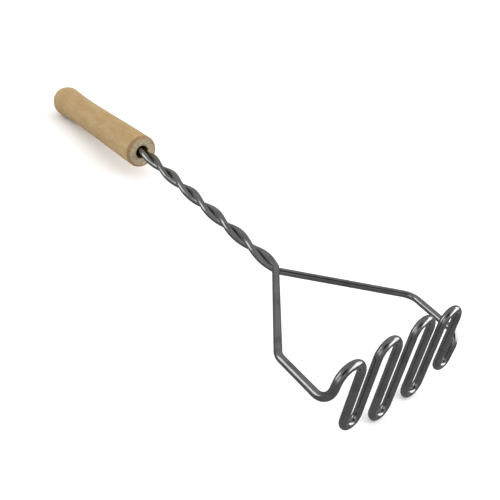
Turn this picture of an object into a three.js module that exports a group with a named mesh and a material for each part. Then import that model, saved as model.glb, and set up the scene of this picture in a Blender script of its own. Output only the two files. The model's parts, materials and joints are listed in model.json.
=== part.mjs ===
// A hand-bent wire masher with a turned wooden handle, lying on its side on a table.
//
// One round wire makes the whole metal part. Its middle is folded to and fro into the
// mashing grid, both ends leave the grid as arms, and from the split the two ends are
// twisted round each other into a shank that is pushed into a blind bore in the handle.
//
// The tool is laid out in its own axes first: +X from the grid along the shank to the
// handle, +Y across the grid's rods, +Z along the rods. It is then set down on the table:
// two loops of the grid and the far end of the handle touch the plane Z = 0.

import * as THREE from "three";

// Driving dimensions, in millimetres and degrees.

const wireDiameter = 4;
const wireSides = 12;
const sectionGap = 0.3;
const bendStep = 22.5;

// The grid's loops from the left arm to the right one, turning away from the table (up)
// and towards it (down) by turns: the width between a loop's two rods, and how far its
// crown reaches from the grid's middle line.
const gridLoops = [
  { side: "up", width: 14.8, reach: 16.1 },
  { side: "down", width: 9.9, reach: 21.9 },
  { side: "up", width: 14.3, reach: 19.7 },
  { side: "down", width: 11.1, reach: 28.4 },
  { side: "up", width: 13.9, reach: 22.6 },
  { side: "down", width: 11.9, reach: 25.5 },
  { side: "up", width: 13.8, reach: 20.5 },
  { side: "down", width: 9.0, reach: 17.8 },
];
const firstRodAcross = 56.1;

// The arms leave the grid's plane at the corners and bend inwards at the shoulders.
const leftCornerAcross = 59.3;
const rightCornerAcross = 45.1;
const cornerBendRadius = 7.5;
const cornerRunOut = 1;
const shoulderAcross = 55.1;
const leftShoulderAlong = 32.5;
const rightShoulderAlong = 35.1;
const shoulderBendRadius = 9;
const splitBendRadius = 4;
const splitRun = 3;

const twistStartAlong = 92.4;
const twistStartAngle = 71.8;
const halfTurnLength = 25.2;
const helixRadius = 2.16;
const twistStepLength = 2.4;

const handleFace = new THREE.Vector3(239.2, -7.6, 10.7);
const handleDirection = new THREE.Vector3(1, -0.02, 0.002).normalize();
const shankBendAhead = 8;
const shankBendRadius = 60;
const handleLength = 125;
const handleSides = 40;
const rimRadius = 11.5;
const rimRounding = 1.6;
const bellyRadius = 10.9;
const waistRadius = 10.7;
const flareRadius = 11.8;
const domeLength = 11;
const boreRadius = 4.5;
const boreDepth = 42;
const boreChamfer = 0.8;
const tangLength = 41;

const steel = new THREE.MeshStandardMaterial({ color: 0x8a8a88, roughness: 0.3, metalness: 1 });
const wood = new THREE.MeshStandardMaterial({ color: 0xc4a26c, roughness: 0.55, metalness: 0 });

const wireRadius = wireDiameter / 2;
const radians = THREE.MathUtils.degToRad;

// A wire's centre line as a row of points. An extrusion takes one step from point to point.
class PointPath extends THREE.Curve {
  constructor(points) {
    super();
    this.points = points;
  }

  getPoint(t, target = new THREE.Vector3()) {
    const place = THREE.MathUtils.clamp(t, 0, 1) * (this.points.length - 1);
    const index = Math.min(Math.floor(place), this.points.length - 2);
    return target.lerpVectors(this.points[index], this.points[index + 1], place - index);
  }

  getUtoTmapping(u) {
    return u;
  }
}

function roundSection() {
  const corners = [];
  for (let i = 0; i < wireSides; i += 1) {
    const angle = (2 * Math.PI * i) / wireSides;
    corners.push(new THREE.Vector2(wireRadius * Math.cos(angle), wireRadius * Math.sin(angle)));
  }
  return new THREE.Shape(corners);
}

function wireMesh(name, points) {
  const geometry = new THREE.ExtrudeGeometry(roundSection(), {
    steps: points.length - 1,
    extrudePath: new PointPath(points),
  });
  const mesh = new THREE.Mesh(geometry, steel);
  mesh.name = name;
  return mesh;
}

// The centre line through a row of corners, each { at, radius }, with every inner corner
// rounded to its bend radius.
function bentLine(corners) {
  const points = [corners[0].at.clone()];
  for (let i = 1; i < corners.length - 1; i += 1) {
    points.push(...bendPoints(corners[i - 1].at, corners[i], corners[i + 1].at));
  }
  points.push(corners[corners.length - 1].at.clone());
  return points.filter((point, i) => i === 0 || point.distanceTo(points[i - 1]) > sectionGap);
}

function bendPoints(before, corner, after) {
  const incoming = corner.at.clone().sub(before).normalize();
  const outgoing = after.clone().sub(corner.at).normalize();
  const turn = incoming.angleTo(outgoing);
  const tangentLength = corner.radius * Math.tan(turn / 2);
  const start = corner.at.clone().addScaledVector(incoming, -tangentLength);
  const inward = outgoing.clone().addScaledVector(incoming, -outgoing.dot(incoming)).normalize();
  const steps = Math.max(2, Math.round(turn / radians(bendStep)));
  const points = [];
  for (let i = 0; i <= steps; i += 1) {
    const angle = (turn * i) / steps;
    const point = start.clone().addScaledVector(incoming, corner.radius * Math.sin(angle));
    points.push(point.addScaledVector(inward, corner.radius * (1 - Math.cos(angle))));
  }
  return points;
}

function gridPoint(across, up) {
  return new THREE.Vector3(0, across, up);
}

// Each loop is two square corners rounded by half its width, which makes a half circle.
function gridCorners() {
  const corners = [];
  let across = firstRodAcross;
  for (const loop of gridLoops) {
    const crown = loop.side === "up" ? loop.reach : -loop.reach;
    corners.push({ at: gridPoint(across, crown), radius: loop.width / 2 });
    across -= loop.width;
    corners.push({ at: gridPoint(across, crown), radius: loop.width / 2 });
  }
  return corners;
}

function loopCentre(index) {
  const before = gridLoops.slice(0, index).reduce((sum, loop) => sum + loop.width, 0);
  const loop = gridLoops[index];
  const across = firstRodAcross - before - loop.width / 2;
  const inset = loop.reach - loop.width / 2;
  return gridPoint(across, loop.side === "up" ? inset : -inset);
}

// The middle line of the twisted shank: straight from the split, then bent into line with
// the bore just ahead of the handle's face.
function shankLine() {
  const start = new THREE.Vector3(twistStartAlong, 0, 0);
  const bend = handleFace.clone().addScaledVector(handleDirection, -shankBendAhead);
  const end = handleFace.clone().addScaledVector(handleDirection, tangLength);
  return bentLine([{ at: start }, { at: bend, radius: shankBendRadius }, { at: end }]);
}

function alongLine(points, distance) {
  let left = distance;
  for (let i = 1; i < points.length; i += 1) {
    const run = points[i].distanceTo(points[i - 1]);
    if (left <= run || i === points.length - 1) {
      const direction = points[i].clone().sub(points[i - 1]).normalize();
      return { at: points[i - 1].clone().addScaledVector(direction, left), direction };
    }
    left -= run;
  }
  return null;
}

function lineLength(points) {
  return points.slice(1).reduce((sum, point, i) => sum + point.distanceTo(points[i]), 0);
}

// One strand of the right-handed twist. The two strands are half a turn apart.
function strandPoint(line, distance, phase) {
  const { at, direction } = alongLine(line, distance);
  const across = new THREE.Vector3(0, 1, 0).addScaledVector(direction, -direction.y).normalize();
  const up = direction.clone().cross(across);
  const angle = radians(twistStartAngle + phase) + (Math.PI * distance) / halfTurnLength;
  at.addScaledVector(across, helixRadius * Math.cos(angle));
  return at.addScaledVector(up, helixRadius * Math.sin(angle));
}

function strandPoints(phase) {
  const line = shankLine();
  const length = lineLength(line);
  const steps = Math.round(length / twistStepLength);
  const points = [];
  for (let i = 0; i <= steps; i += 1) {
    points.push(strandPoint(line, (length * i) / steps, phase));
  }
  return points;
}

// Where a strand, leaving the twist straight on, turns out into its arm.
function leadOut(strand) {
  const direction = strand[0].clone().sub(strand[1]).normalize();
  return strand[0].clone().addScaledVector(direction, splitRun);
}

// An arm's centre line, from the split over the shoulder and round the corner, with a short
// straight run at its end that points at the grid's first loop.
function armPoints(phase, shoulder, cornerAcross, gridEnd) {
  const strand = strandPoints(phase);
  const corner = { at: gridPoint(cornerAcross, 0), radius: cornerBendRadius };
  const bendEnd = bendPoints(shoulder, corner, gridEnd).pop();
  const onward = gridEnd.clone().sub(bendEnd).normalize();
  return bentLine([
    { at: strand[0] },
    { at: leadOut(strand), radius: splitBendRadius },
    { at: shoulder, radius: shoulderBendRadius },
    corner,
    { at: bendEnd.addScaledVector(onward, cornerRunOut) },
  ]);
}

// The wire's sections stop just short of each other where one would meet the next.
function trimmed(points, startGap, endGap) {
  const kept = points.map((point) => point.clone());
  const last = kept.length - 1;
  const forward = kept[1].clone().sub(kept[0]).normalize();
  const backward = kept[last - 1].clone().sub(kept[last]).normalize();
  kept[0].addScaledVector(forward, startGap);
  kept[last].addScaledVector(backward, endGap);
  return kept;
}

function wireSections() {
  const corners = gridCorners();
  const leftShoulder = new THREE.Vector3(leftShoulderAlong, shoulderAcross, 0);
  const rightShoulder = new THREE.Vector3(rightShoulderAlong, -shoulderAcross, 0);
  const leftArm = armPoints(0, leftShoulder, leftCornerAcross, corners[0].at);
  const rightArm = armPoints(180, rightShoulder, -rightCornerAcross, corners[corners.length - 1].at);
  const leftEnd = { at: leftArm[leftArm.length - 1] };
  const rightEnd = { at: rightArm[rightArm.length - 1] };
  const grid = bentLine([leftEnd, ...corners, rightEnd]);
  return [
    wireMesh("mashing_grid", trimmed(grid, sectionGap, sectionGap)),
    wireMesh("left_arm", leftArm),
    wireMesh("right_arm", rightArm),
    wireMesh("left_strand", trimmed(strandPoints(0), sectionGap, 0)),
    wireMesh("right_strand", trimmed(strandPoints(180), sectionGap, 0)),
  ];
}

// Half the handle's outline, from the bottom of the bore out over the rim and back along
// the grip to the rounded end. x is the radius and y the distance from the face.
function handleOutline() {
  const rim = new THREE.EllipseCurve(
    rimRadius - rimRounding, rimRounding, rimRounding, rimRounding, -Math.PI / 2, 0,
  );
  const grip = new THREE.SplineCurve([
    new THREE.Vector2(rimRadius, rimRounding),
    new THREE.Vector2(rimRadius - 0.1, handleLength * 0.16),
    new THREE.Vector2(bellyRadius, handleLength * 0.46),
    new THREE.Vector2(waistRadius, handleLength * 0.72),
    new THREE.Vector2(flareRadius, handleLength - domeLength),
  ]);
  const dome = new THREE.EllipseCurve(
    0, handleLength - domeLength, flareRadius, domeLength, 0, Math.PI / 2,
  );
  return [
    new THREE.Vector2(0, boreDepth),
    new THREE.Vector2(boreRadius, boreDepth),
    new THREE.Vector2(boreRadius, boreChamfer),
    new THREE.Vector2(boreRadius + boreChamfer, 0),
    ...rim.getPoints(4),
    ...grip.getPoints(12).slice(1),
    ...dome.getPoints(7).slice(1, -1),
    new THREE.Vector2(0, handleLength),
  ];
}

function handleMesh() {
  const mesh = new THREE.Mesh(new THREE.LatheGeometry(handleOutline(), handleSides), wood);
  mesh.name = "handle";
  mesh.quaternion.setFromUnitVectors(new THREE.Vector3(0, 1, 0), handleDirection);
  mesh.position.copy(handleFace);
  return mesh;
}

// The three places that the tool lies on, each as the ball that just fits inside it: the
// two longest loops that turn towards the table, and the flare at the handle's end.
function restingBalls() {
  const down = gridLoops.map((loop, index) => ({ ...loop, index }));
  const longest = down.filter((loop) => loop.side === "down").sort((a, b) => b.reach - a.reach);
  const flare = handleFace.clone().addScaledVector(handleDirection, handleLength - domeLength);
  return [
    ...longest.slice(0, 2).map(({ index, width }) => (
      { at: loopCentre(index), radius: width / 2 + wireRadius }
    )),
    { at: flare, radius: flareRadius },
  ];
}

// The table's upward normal in the tool's axes: the plane that touches all three balls.
function tableNormal() {
  const balls = restingBalls();
  const normal = new THREE.Vector3(0, 0, 1);
  for (let round = 0; round < 8; round += 1) {
    const touching = balls.map(({ at, radius }) => at.clone().addScaledVector(normal, -radius));
    const first = touching[1].clone().sub(touching[0]);
    const second = touching[2].clone().sub(touching[0]);
    const next = first.cross(second).normalize();
    normal.copy(next.z < 0 ? next.negate() : next);
  }
  return normal;
}

// Sets the tool down on the table, with the shank over the X axis and the middle of its
// outline over the origin.
function layDown(tool) {
  const up = tableNormal();
  const along = new THREE.Vector3(1, 0, 0).addScaledVector(up, -up.x).normalize();
  const across = up.clone().cross(along);
  const toolAxes = new THREE.Matrix4().makeBasis(along, across, up);
  tool.quaternion.setFromRotationMatrix(toolAxes.transpose());
  tool.updateMatrixWorld(true);
  const outline = new THREE.Box3().setFromObject(tool, true);
  const middle = outline.getCenter(new THREE.Vector3());
  tool.position.set(-middle.x, -middle.y, -outline.min.z);
}

const masher = new THREE.Group();
masher.add(...wireSections(), handleMesh());
layDown(masher);

export default masher;
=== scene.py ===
"""The looks of the wire masher: one continuous bent and twisted wire in a turned handle.

The masher's own axes are +X from the grid along the shank to the handle, +Y across the
grid's rods and +Z along the rods. Lengths are in metres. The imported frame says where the
masher lies in the row's axes.
"""

import json
import math

import bmesh
import bpy
from mathutils import Matrix, Vector


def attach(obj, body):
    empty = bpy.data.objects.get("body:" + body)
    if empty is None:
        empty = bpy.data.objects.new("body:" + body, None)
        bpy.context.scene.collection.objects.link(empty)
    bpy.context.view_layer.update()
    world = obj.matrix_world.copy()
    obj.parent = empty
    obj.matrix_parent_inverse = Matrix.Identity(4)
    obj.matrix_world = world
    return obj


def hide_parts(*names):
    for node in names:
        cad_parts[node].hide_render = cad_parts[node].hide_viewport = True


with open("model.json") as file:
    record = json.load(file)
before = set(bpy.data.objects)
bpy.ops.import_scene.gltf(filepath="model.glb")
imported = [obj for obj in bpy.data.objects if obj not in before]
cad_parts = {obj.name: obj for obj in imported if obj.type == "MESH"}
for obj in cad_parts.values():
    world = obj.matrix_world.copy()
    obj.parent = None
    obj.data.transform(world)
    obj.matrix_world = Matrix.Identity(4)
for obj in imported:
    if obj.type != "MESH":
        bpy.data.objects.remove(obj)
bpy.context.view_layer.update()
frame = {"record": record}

# Driving dimensions of the wire, as on the CAD part.
WIRE_RADIUS = 0.002
GRID_LOOPS = (
    ("up", 0.0148, 0.0161),
    ("down", 0.0099, 0.0219),
    ("up", 0.0143, 0.0197),
    ("down", 0.0111, 0.0284),
    ("up", 0.0139, 0.0226),
    ("down", 0.0119, 0.0255),
    ("up", 0.0138, 0.0205),
    ("down", 0.0090, 0.0178),
)
FIRST_ROD_ACROSS = 0.0561
LEFT_CORNER_ACROSS = 0.0593
RIGHT_CORNER_ACROSS = 0.0451
CORNER_BEND = 0.0075
LEFT_SHOULDER = Vector((0.0325, 0.0551, 0))
RIGHT_SHOULDER = Vector((0.0351, -0.0551, 0))
SHOULDER_BEND = 0.009
SPLIT_BEND = 0.004
SPLIT_RUN = 0.003
TWIST_START = 0.0924
TWIST_START_ANGLE = math.radians(71.8)
HALF_TURN = 0.0252
HELIX_RADIUS = 0.002
TANG_LENGTH = 0.041
SHANK_BEND_AHEAD = 0.008
SHANK_BEND = 0.06

# Driving dimensions of the handle.
HANDLE_FACE = Vector((0.2392, -0.0076, 0.0107))
HANDLE_AXIS = Vector((1, -0.02, 0.002)).normalized()
HANDLE_LENGTH = 0.125
RIM_RADIUS = 0.0115
RIM_ROUNDING = 0.0016
BELLY_RADIUS = 0.0109
WAIST_RADIUS = 0.0107
FLARE_RADIUS = 0.0118
DOME_LENGTH = 0.011
BORE_RADIUS = 0.0045
BORE_DEPTH = 0.042
BORE_LIP = 0.0007
MOUNT_RING_RADIUS = 0.0077

# Fineness of the meshes.
BEND_STEP = math.radians(6)
STRAIGHT_STEP = 0.004
TWIST_STEP = 0.001
WIRE_SIDES = 36
HANDLE_SIDES = 144
GRIP_STEPS = 16

# Base colours.
STEEL = (0.30, 0.30, 0.297, 1)
STEEL_DULL = (0.20, 0.20, 0.198, 1)
WOOD_LIGHT = (0.420, 0.290, 0.136, 1)
WOOD_WARM = (0.363, 0.230, 0.088, 1)
WOOD_PALE = (0.411, 0.318, 0.180, 1)
WOOD_END = (0.35, 0.31, 0.225, 1)
WOOD_END_WARM = (0.22, 0.155, 0.085, 1)
# Dark wood for fibres and pores, also the painted shade on the rim of the face.
WOOD_DARK_AND_RIM_SHADE = (0.22, 0.115, 0.035, 1)
# Painted shade inside the bore.
BORE_SHADE = (0.10, 0.065, 0.025, 1)
FLOOR_PAINT = (0.95, 0.95, 0.95, 1)
WHITE = (1, 1, 1, 1)

# The floor, the room and the camera.
FLOOR_HALF = 6.0
ROOM_LOW = 0.26
ROOM_HIGH = 0.48
DARK_CORNER = Vector((-0.38, 0.3, 0.87)).normalized()
CORNER_SHADE = 0.45
CAMERA_FROM = Vector((-0.2589, 0.2055, 0.2122))
CAMERA_AT = Vector((-0.0731, 0.003, 0.025))
CAMERA_ROLL = math.radians(11.5)
CAMERA_LENS = 42.72


# ---------------------------------------------------------------- where the masher lies


def grid_point(across, up):
    return Vector((0, across, up))


def loop_centre(index):
    before = sum(width for _, width, _ in GRID_LOOPS[:index])
    side, width, reach = GRID_LOOPS[index]
    inset = reach - width / 2
    return grid_point(FIRST_ROD_ACROSS - before - width / 2, inset if side == "up" else -inset)


def resting_balls():
    """The three places that touch the table, each as a ball inside it: (centre, radius)."""
    down = [i for i, loop in enumerate(GRID_LOOPS) if loop[0] == "down"]
    longest = sorted(down, key=lambda i: -GRID_LOOPS[i][2])[:2]
    balls = [(loop_centre(i), GRID_LOOPS[i][1] / 2 + WIRE_RADIUS) for i in longest]
    flare = HANDLE_FACE + HANDLE_AXIS * (HANDLE_LENGTH - DOME_LENGTH)
    return balls + [(flare, FLARE_RADIUS)]


def table_normal():
    normal = Vector((0, 0, 1))
    for _ in range(8):
        a, b, c = [at - normal * radius for at, radius in resting_balls()]
        normal = (b - a).cross(c - a).normalized()
        if normal.z < 0:
            normal.negate()
    return normal


def masher_to_row():
    """The matrix from the masher's axes to the row's: its handle face is at its mount."""
    up = table_normal()
    along = (Vector((1, 0, 0)) - up * up.x).normalized()
    turn = Matrix((along, up.cross(along), up))
    upright = (Vector((0, 0, 1)) - HANDLE_AXIS * HANDLE_AXIS.z).normalized()
    on_face = HANDLE_FACE + upright * MOUNT_RING_RADIUS
    mount = next(m for m in frame["record"]["mounts"] if m["name"] == "handle_face")
    return Matrix.Translation(Vector(mount["pos_m"]) - turn @ on_face) @ turn.to_4x4()


# ---------------------------------------------------------------- the wire's centre line


def bend_points(before, at, radius, after):
    incoming = (at - before).normalized()
    outgoing = (after - at).normalized()
    turn = incoming.angle(outgoing)
    start = at - incoming * radius * math.tan(turn / 2)
    inward = (outgoing - incoming * outgoing.dot(incoming)).normalized()
    steps = max(3, round(turn / BEND_STEP))
    angles = [turn * i / steps for i in range(steps + 1)]
    return [
        start + incoming * radius * math.sin(a) + inward * radius * (1 - math.cos(a))
        for a in angles
    ]


def bent_line(corners):
    """The line through (point, bend radius) corners, with each inner corner rounded."""
    points = [corners[0][0].copy()]
    for before, (at, radius), after in zip(corners, corners[1:], corners[2:]):
        points += bend_points(before[0], at, radius, after[0])
    points.append(corners[-1][0].copy())
    return points


def filled(points):
    """The same line with its long straight runs cut into short ones."""
    line = [points[0]]
    for a, b in zip(points, points[1:]):
        run = (b - a).length
        if run < WIRE_RADIUS / 20:
            continue
        steps = max(1, round(run / STRAIGHT_STEP))
        line += [a.lerp(b, (i + 1) / steps) for i in range(steps)]
    return line


def shank_line():
    start = Vector((TWIST_START, 0, 0))
    bend = HANDLE_FACE - HANDLE_AXIS * SHANK_BEND_AHEAD
    end = HANDLE_FACE + HANDLE_AXIS * TANG_LENGTH
    return bent_line([(start, 0), (bend, SHANK_BEND), (end, 0)])


def along_line(points, distance):
    left = distance
    for a, b in zip(points, points[1:]):
        run = (b - a).length
        if left <= run or b is points[-1]:
            direction = (b - a).normalized()
            return a + direction * left, direction
        left -= run


def line_length(points):
    return sum((b - a).length for a, b in zip(points, points[1:]))


def strand_point(line, distance, phase):
    at, direction = along_line(line, distance)
    across = (Vector((0, 1, 0)) - direction * direction.y).normalized()
    angle = TWIST_START_ANGLE + phase + math.pi * distance / HALF_TURN
    up = direction.cross(across)
    return at + (across * math.cos(angle) + up * math.sin(angle)) * HELIX_RADIUS


def strand_points(phase):
    line = shank_line()
    length = line_length(line)
    steps = round(length / TWIST_STEP)
    return [strand_point(line, length * i / steps, phase) for i in range(steps + 1)]


def grid_corners():
    corners = []
    across = FIRST_ROD_ACROSS
    for side, width, reach in GRID_LOOPS:
        crown = reach if side == "up" else -reach
        corners.append((grid_point(across, crown), width / 2))
        across -= width
        corners.append((grid_point(across, crown), width / 2))
    return corners


def lead_out(strand):
    return strand[0] + (strand[0] - strand[1]).normalized() * SPLIT_RUN


def wire_line():
    """The whole wire, from one end in the bore round the grid to the other end."""
    left = strand_points(0)
    right = strand_points(math.pi)
    head = bent_line([
        (left[0], 0),
        (lead_out(left), SPLIT_BEND),
        (LEFT_SHOULDER, SHOULDER_BEND),
        (grid_point(LEFT_CORNER_ACROSS, 0), CORNER_BEND),
        *grid_corners(),
        (grid_point(-RIGHT_CORNER_ACROSS, 0), CORNER_BEND),
        (RIGHT_SHOULDER, SHOULDER_BEND),
        (lead_out(right), SPLIT_BEND),
        (right[0], 0),
    ])
    return filled(left[::-1] + head + right)


# ---------------------------------------------------------------- meshes


def mesh_object(name, mesh_data, matrix):
    """An object whose mesh is moved into the row's axes. Its own axes stay on the mesh as
    the "own_place" attribute, which the materials read."""
    mesh_data.normal_update()
    mesh = bpy.data.meshes.new(name)
    mesh_data.to_mesh(mesh)
    mesh_data.free()
    own = mesh.attributes.new("own_place", "FLOAT_VECTOR", "POINT")
    for vertex, value in zip(mesh.vertices, own.data):
        value.vector = vertex.co
    mesh.transform(matrix)
    mesh.shade_smooth()
    piece = bpy.data.objects.new(name, mesh)
    bpy.context.scene.collection.objects.link(piece)
    return piece


def swept_rings(points):
    """(centre, first axis, second axis, distance) of each section along a line."""
    rings = []
    normal = None
    travelled = 0.0
    for i, at in enumerate(points):
        before = points[max(0, i - 1)]
        after = points[min(len(points) - 1, i + 1)]
        tangent = (after - before).normalized()
        if normal is None:
            normal = tangent.orthogonal()
        normal = (normal - tangent * normal.dot(tangent)).normalized()
        travelled += (at - before).length
        rings.append((at, normal.copy(), tangent.cross(normal), travelled))
    return rings


def ring_places(at, first, second):
    """The corners of one section of the wire."""
    places = []
    for k in range(WIRE_SIDES):
        angle = 2 * math.pi * k / WIRE_SIDES
        outward = first * math.cos(angle) + second * math.sin(angle)
        places.append(at + outward * WIRE_RADIUS)
    return places


def wire_mesh(points):
    """A round bar along the line. Its UV map holds (turn round the wire, metres along)."""
    bm = bmesh.new()
    uv = bm.loops.layers.uv.new("wire")
    rings = swept_rings(points)
    rows = [[bm.verts.new(place) for place in ring_places(*ring[:3])] for ring in rings]
    for i in range(len(rows) - 1):
        for k in range(WIRE_SIDES):
            k2 = (k + 1) % WIRE_SIDES
            face = bm.faces.new((rows[i][k], rows[i][k2], rows[i + 1][k2], rows[i + 1][k]))
            places = ((k, i), (k + 1, i), (k + 1, i + 1), (k, i + 1))
            for corner, (turn, ring) in zip(face.loops, places):
                corner[uv].uv = (turn / WIRE_SIDES, rings[ring][3])
    bm.faces.new(rows[0][::-1])
    bm.faces.new(rows[-1])
    return bm


def between(p, q, r, s, t):
    """The value at t on a Catmull-Rom curve from q (t = 0) to r (t = 1)."""
    squared = (2 * p - 5 * q + 4 * r - s) * t * t
    cubed = (3 * q - p - 3 * r + s) * t ** 3
    return 0.5 * (2 * q + (r - p) * t + squared + cubed)


def spline(points, count):
    """Points of a smooth curve through a few (radius, distance) points."""
    ends = [points[0], *points, points[-1]]
    curve = []
    for around in zip(ends, ends[1:], ends[2:], ends[3:]):
        for i in range(count):
            curve.append(tuple(between(*values, i / count) for values in zip(*around)))
    return curve + [points[-1]]


def arc(centre, radius_across, radius_along, start, end, count):
    """Points of an arc about a (radius, distance) centre, from one angle to another."""
    return [
        (centre[0] + radius_across * math.cos(start + (end - start) * i / count),
         centre[1] + radius_along * math.sin(start + (end - start) * i / count))
        for i in range(count + 1)
    ]


def handle_outline():
    """Half the handle's outline as (radius, distance from the face), bore first."""
    bore = [(BORE_RADIUS, BORE_DEPTH * (1 - i / 12)) for i in range(12)]
    face_start = BORE_RADIUS + BORE_LIP
    mouth = arc((face_start, BORE_LIP), BORE_LIP, BORE_LIP, math.pi, 1.5 * math.pi, 5)
    face_end = RIM_RADIUS - RIM_ROUNDING
    face = [(face_start + (face_end - face_start) * i / 10, 0.0) for i in range(1, 10)]
    rim = arc((face_end, RIM_ROUNDING), RIM_ROUNDING, RIM_ROUNDING, -math.pi / 2, 0, 8)
    grip = spline(
        [
            (RIM_RADIUS, RIM_ROUNDING),
            (RIM_RADIUS - 0.0001, HANDLE_LENGTH * 0.16),
            (BELLY_RADIUS, HANDLE_LENGTH * 0.46),
            (WAIST_RADIUS, HANDLE_LENGTH * 0.72),
            (FLARE_RADIUS, HANDLE_LENGTH - DOME_LENGTH),
        ],
        GRIP_STEPS,
    )
    dome = arc((0, HANDLE_LENGTH - DOME_LENGTH), FLARE_RADIUS, DOME_LENGTH, 0, math.pi / 2, 20)
    inside = [(0.0, BORE_DEPTH), *bore, *mouth]
    return [*inside, *face, *rim, *grip[1:], *dome[1:-1], (0.0, HANDLE_LENGTH)]


def handle_mesh():
    """The turned handle about its own +Z axis, with the face at Z = 0."""
    bm = bmesh.new()
    outline = handle_outline()
    bottom = bm.verts.new((0, 0, outline[0][1]))
    tip = bm.verts.new((0, 0, outline[-1][1]))
    rows = []
    for radius, distance in outline[1:-1]:
        row = []
        for k in range(HANDLE_SIDES):
            angle = 2 * math.pi * k / HANDLE_SIDES
            row.append(bm.verts.new((radius * math.cos(angle), radius * math.sin(angle), distance)))
        rows.append(row)
    for k in range(HANDLE_SIDES):
        k2 = (k + 1) % HANDLE_SIDES
        bm.faces.new((bottom, rows[0][k2], rows[0][k]))
        bm.faces.new((tip, rows[-1][k], rows[-1][k2]))
        for low, high in zip(rows, rows[1:]):
            bm.faces.new((low[k], low[k2], high[k2], high[k]))
    bmesh.ops.recalc_face_normals(bm, faces=bm.faces)
    return bm


# ---------------------------------------------------------------- materials


class NodeTools:
    """Short ways to add and join the nodes of one node tree."""

    def __init__(self, tree):
        self.tree = tree

    def add(self, kind, inputs=(), **settings):
        node = self.tree.nodes.new(kind)
        for key, value in settings.items():
            setattr(node, key, value)
        for key, value in dict(inputs).items():
            self.feed(value, node.inputs[key])
        return node

    def feed(self, value, socket):
        if isinstance(value, bpy.types.NodeSocket):
            self.tree.links.new(value, socket)
        else:
            socket.default_value = value

    def math(self, operation, a, b=0.0, clamp=False):
        node = self.add("ShaderNodeMath", {0: a, 1: b}, operation=operation, use_clamp=clamp)
        return node.outputs[0]

    def noise(self, vector, scale, detail=3.0, roughness=0.5, distortion=0.0):
        node = self.add("ShaderNodeTexNoise", {
            "Vector": vector, "Scale": scale, "Detail": detail,
            "Roughness": roughness, "Distortion": distortion,
        })
        return node.outputs["Fac"]

    def ramp(self, factor, low, high):
        """0 below low, 1 above high, and smooth in between."""
        node = self.add("ShaderNodeMapRange", {
            "Value": factor, "From Min": low, "From Max": high,
        }, interpolation_type="SMOOTHSTEP")
        return node.outputs["Result"]

    def mix(self, factor, a, b):
        node = self.add("ShaderNodeMix", data_type="RGBA")
        self.feed(factor, node.inputs["Factor"])
        self.feed(a, node.inputs[6])
        self.feed(b, node.inputs[7])
        return node.outputs[2]

    def own_place(self):
        return self.add("ShaderNodeAttribute", attribute_name="own_place").outputs["Vector"]

    def stretched(self, vector, scale):
        node = self.add("ShaderNodeMapping", {"Vector": vector, "Scale": scale})
        return node.outputs["Vector"]

    def falling(self, factor, low, high):
        """1 below low, 0 above high, and smooth in between."""
        return self.math("SUBTRACT", 1.0, self.ramp(factor, low, high), clamp=True)

    def part_mix(self, factor, share, a, b):
        """Colour b over colour a, where the factor says and at most by the share."""
        return self.mix(self.math("MULTIPLY", factor, share), a, b)

    def bump(self, height, distance):
        node = self.add("ShaderNodeBump", {"Height": height, "Distance": distance})
        return node.outputs["Normal"]


class Nodes(NodeTools):
    """The nodes of a new material."""

    def __init__(self, name):
        self.material = bpy.data.materials.new(name)
        self.material.use_nodes = True
        super().__init__(self.material.node_tree)
        self.shader = self.tree.nodes["Principled BSDF"]


def steel_material():
    """Bright drawn wire: fine lines along it, soft blotches of handling and small nicks."""
    n = Nodes("steel_wire")
    uv = n.add("ShaderNodeUVMap", uv_map="wire").outputs["UV"]
    place = n.own_place()
    lines = n.noise(n.stretched(uv, (90, 60, 1)), 1.0, detail=4, roughness=0.6)
    blotches = n.noise(place, 140, detail=4, roughness=0.6)
    nicks = n.ramp(n.noise(place, 900, detail=2), 0.68, 0.78)
    colour = n.mix(n.ramp(blotches, 0.4, 0.75), STEEL, STEEL_DULL)
    n.feed(colour, n.shader.inputs["Base Color"])
    roughness = n.math("ADD", n.math("MULTIPLY", blotches, 0.16), n.math("MULTIPLY", lines, 0.10))
    n.feed(n.math("ADD", roughness, 0.04), n.shader.inputs["Roughness"])
    relief = n.math("SUBTRACT", n.math("MULTIPLY", lines, 0.25), n.math("MULTIPLY", nicks, 0.5))
    n.feed(n.bump(relief, 0.00002), n.shader.inputs["Normal"])
    n.shader.inputs["Metallic"].default_value = 1.0
    return n.material


def side_grain(n, place):
    """The colour of the turned side, the height of its grain and its roughness."""
    patches = n.noise(n.stretched(place, (1, 1, 0.5)), 120, detail=4, roughness=0.6)
    mottle = n.noise(n.stretched(place, (1, 1, 0.6)), 330, detail=3, roughness=0.6)
    streaks = n.noise(n.stretched(place, (1, 1, 0.04)), 420, detail=4, roughness=0.6)
    fibres = n.noise(n.stretched(place, (1, 1, 0.02)), 2600, detail=3, roughness=0.6)
    colour = n.mix(n.ramp(patches, 0.35, 0.68), WOOD_WARM, WOOD_LIGHT)
    colour = n.part_mix(n.ramp(mottle, 0.45, 0.75), 0.8, colour, WOOD_PALE)
    colour = n.part_mix(n.ramp(streaks, 0.5, 0.8), 0.35, colour, WOOD_WARM)
    colour = n.part_mix(n.ramp(fibres, 0.55, 0.85), 0.2, colour, WOOD_DARK_AND_RIM_SHADE)
    height = n.math("ADD", n.math("MULTIPLY", streaks, 0.5), n.math("MULTIPLY", fibres, 0.5))
    roughness = n.math("ADD", n.math("MULTIPLY", patches, 0.2), 0.42)
    return colour, height, roughness


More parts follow.
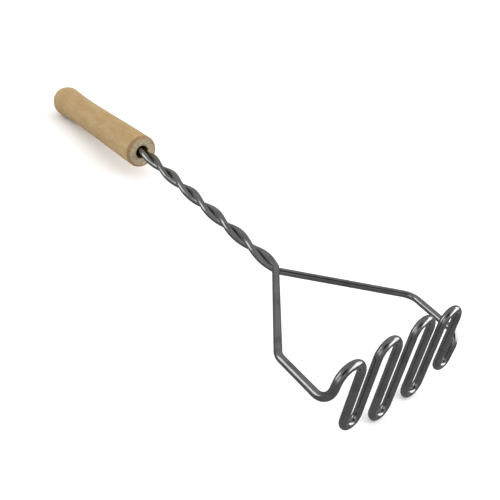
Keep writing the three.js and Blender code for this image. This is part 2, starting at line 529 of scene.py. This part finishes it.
def end_grain(n, place):
    """The colour of the sawn face, with its rings, and the height of its pores."""
    pores = n.noise(place, 2400, detail=2)
    blotches = n.noise(place, 420, detail=4, roughness=0.65)
    rings = n.add("ShaderNodeTexWave", {
        "Vector": n.stretched(place, (1, 0.35, 0)), "Scale": 150, "Distortion": 3.0, "Detail": 3.0,
    }, wave_type="BANDS").outputs["Fac"]
    colour = n.mix(n.ramp(blotches, 0.4, 0.68), WOOD_END, WOOD_END_WARM)
    colour = n.part_mix(rings, 0.25, colour, WOOD_WARM)
    colour = n.part_mix(n.ramp(pores, 0.55, 0.75), 0.4, colour, WOOD_DARK_AND_RIM_SHADE)
    return colour, pores


def handle_zones(n, place):
    """Where the handle's face, its rim and the inside of its bore are, each from 0 to 1; the rim
    and bore masks place painted shade.
    """
    split = n.add("ShaderNodeSeparateXYZ", {"Vector": place}).outputs
    height = split["Z"]
    centre = n.add("ShaderNodeCombineXYZ", {"X": split["X"], "Y": split["Y"]}).outputs[0]
    length = n.add("ShaderNodeVectorMath", {0: centre}, operation="LENGTH")
    from_axis = length.outputs["Value"]
    on_face = n.falling(height, 0.0002, 0.0008)
    near_rim = n.ramp(from_axis, RIM_RADIUS - 0.0024, RIM_RADIUS - 0.0012)
    rim_shade = n.math("MULTIPLY", near_rim, n.falling(height, 0.0012, 0.0024))
    near_axis = n.falling(from_axis, BORE_RADIUS, BORE_RADIUS + 0.0009)
    bore_shade = n.math("MULTIPLY", near_axis, n.math("LESS_THAN", height, BORE_DEPTH + 0.001))
    return on_face, rim_shade, bore_shade


def wood_material():
    """Pale turned hardwood: fibres along +Z, end grain on the face, painted shade on the rim and
    inside the bore.
    """
    n = Nodes("handle_wood")
    place = n.own_place()
    on_face, rim_shade, bore_shade = handle_zones(n, place)
    side, grain, roughness = side_grain(n, place)
    end, pores = end_grain(n, place)
    colour = n.mix(on_face, side, end)
    # Painted shade: the rim round the face is darkened.
    colour = n.part_mix(rim_shade, 0.7, colour, WOOD_DARK_AND_RIM_SHADE)
    # Painted shade: the inside of the bore is darkened.
    colour = n.part_mix(bore_shade, 0.9, colour, BORE_SHADE)
    n.feed(colour, n.shader.inputs["Base Color"])
    n.feed(roughness, n.shader.inputs["Roughness"])
    relief = n.add("ShaderNodeMix", {0: on_face, 2: grain, 3: pores}, data_type="FLOAT")
    n.feed(n.bump(relief.outputs[0], 0.00006), n.shader.inputs["Normal"])
    n.shader.inputs["Specular IOR Level"].default_value = 0.35
    n.shader.inputs["Coat Weight"].default_value = 0.08
    n.shader.inputs["Coat Roughness"].default_value = 0.3
    return n.material


# ---------------------------------------------------------------- pieces


def make_wire(to_row):
    piece = mesh_object("bent_wire", wire_mesh(wire_line()), to_row)
    piece.data.materials.append(steel_material())
    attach(piece, "root")
    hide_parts("mashing_grid", "left_arm", "right_arm", "left_strand", "right_strand")


def make_handle(to_row):
    turn = Vector((0, 0, 1)).rotation_difference(HANDLE_AXIS).to_matrix().to_4x4()
    place = to_row @ Matrix.Translation(HANDLE_FACE) @ turn
    piece = mesh_object("turned_handle", handle_mesh(), place)
    piece.data.materials.append(wood_material())
    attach(piece, "root")
    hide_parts("handle")


# ---------------------------------------------------------------- floor, light, camera


def make_floor():
    bm = bmesh.new()
    corners = ((-1, -1), (1, -1), (1, 1), (-1, 1))
    bm.faces.new([bm.verts.new((x * FLOOR_HALF, y * FLOOR_HALF, 0)) for x, y in corners])
    floor = mesh_object("floor", bm, Matrix.Identity(4))
    n = Nodes("floor_paint")
    n.shader.inputs["Base Color"].default_value = FLOOR_PAINT
    n.shader.inputs["Roughness"].default_value = 0.9
    floor.data.materials.append(n.material)
    floor.visible_glossy = False


def make_area_light(name, place, aim, size, power):
    """A soft box, size = (width, height)."""
    light = bpy.data.lights.new(name, "AREA")
    light.shape = "RECTANGLE"
    light.size, light.size_y = size
    light.energy = power
    lamp = bpy.data.objects.new(name, light)
    bpy.context.scene.collection.objects.link(lamp)
    lamp.location = place
    lamp.rotation_euler = (Vector(aim) - Vector(place)).to_track_quat("-Z", "Y").to_euler()
    return lamp


def make_world():
    """A grey room: lighter above the table than below it, with one dark corner overhead."""
    world = bpy.data.worlds.new("studio")
    bpy.context.scene.world = world
    world.use_nodes = True
    n = NodeTools(world.node_tree)
    direction = n.add("ShaderNodeTexCoord").outputs["Generated"]
    height = n.add("ShaderNodeSeparateXYZ", {"Vector": direction}).outputs["Z"]
    towards = {0: direction, 1: DARK_CORNER}
    nearness = n.add("ShaderNodeVectorMath", towards, operation="DOT_PRODUCT").outputs["Value"]
    shade = n.math("MULTIPLY", n.ramp(nearness, 0.90, 0.96), CORNER_SHADE)
    lift = n.math("MULTIPLY", n.ramp(height, -0.1, 0.25), ROOM_HIGH - ROOM_LOW)
    bright = n.math("ADD", lift, ROOM_LOW)
    background = world.node_tree.nodes["Background"]
    background.inputs["Color"].default_value = WHITE
    n.feed(n.math("SUBTRACT", bright, shade), background.inputs["Strength"])


def make_lights():
    """A broad light overhead, a bright soft box on one side and two weak ones opposite it.

    The overhead light is kept out of reflections, so that the wire mirrors the grey room.
    """
    middle = (-0.1, 0, 0.02)
    overhead = make_area_light("overhead", (0, 0, 1.6), (0, 0, 0), (4.0, 4.0), 52)
    overhead.visible_glossy = False
    make_area_light("key", (-0.73, -0.75, 0.43), middle, (1.4, 0.7), 10)
    make_area_light("back", (0.75, 0.80, 0.48), middle, (0.5, 0.9), 2.8)
    make_area_light("fill", (-0.3, 1.0, 0.5), middle, (0.9, 0.5), 1.0)


def make_camera():
    camera = bpy.data.cameras.new("camera")
    camera.lens = CAMERA_LENS
    camera.sensor_width = 36
    camera.clip_start = 0.01
    viewer = bpy.data.objects.new("camera", camera)
    bpy.context.scene.collection.objects.link(viewer)
    level = (CAMERA_AT - CAMERA_FROM).to_track_quat("-Z", "Y").to_matrix()
    viewer.location = CAMERA_FROM
    viewer.rotation_euler = (level @ Matrix.Rotation(CAMERA_ROLL, 3, "Z")).to_euler()
    bpy.context.scene.camera = viewer
    bpy.context.scene.view_settings.view_transform = "Standard"


TO_ROW = masher_to_row()
make_wire(TO_ROW)
make_handle(TO_ROW)
make_floor()
make_world()
make_lights()
make_camera()
